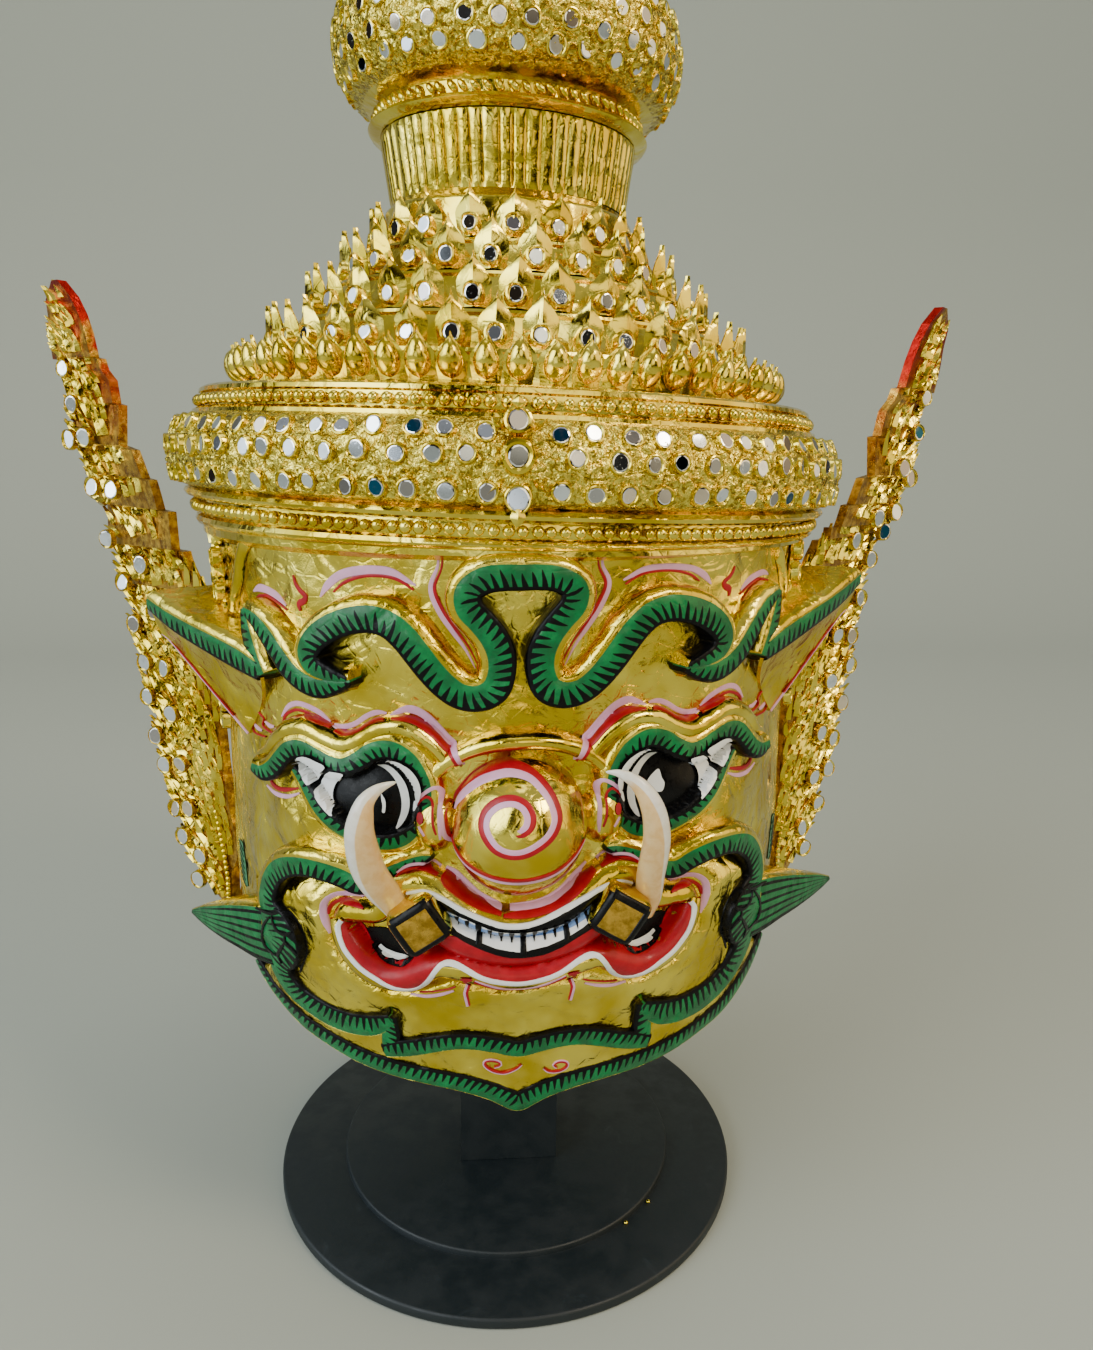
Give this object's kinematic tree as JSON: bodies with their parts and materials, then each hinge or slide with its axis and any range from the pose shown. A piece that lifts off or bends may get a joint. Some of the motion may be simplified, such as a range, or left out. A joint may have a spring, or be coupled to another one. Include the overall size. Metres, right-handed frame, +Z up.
{
  "type": "khon mask",
  "caption": "Gilded demon dance mask with green banded face, tusks, tiered crown, tall spire and flame ear ornaments, on a round post stand.",
  "frame": {"origin": "centre of the stand's underside, on the floor, below the axis of the post and the crown", "axes": "+Z up along the post; the face looks towards -Y; +X is the viewer's right"},
  "size_m": [0.376, 0.2714, 0.629],
  "materials": {
    "gilt_lacquer": "papier-mache, lacquered, gold foil with green, black, pink, red and white paint",
    "tusk_ivory": "cream gloss lacquer, ochre towards the root",
    "gilt_leather": "stiff cut leather, gold foil, small mirrors",
    "gilt_wood": "turned wood, gold foil, small mirrors",
    "dark_stand": "matte black paint, lightly scuffed"
  },
  "bodies": {
    "root": {"mask": "gilt_lacquer", "tusk_left": "tusk_ivory", "tusk_right": "tusk_ivory", "ear_ornament_left": "gilt_leather", "ear_ornament_right": "gilt_leather", "spire": "gilt_wood", "stand_base": "dark_stand", "stand_post": "dark_stand"}
  },
  "joints": []
}
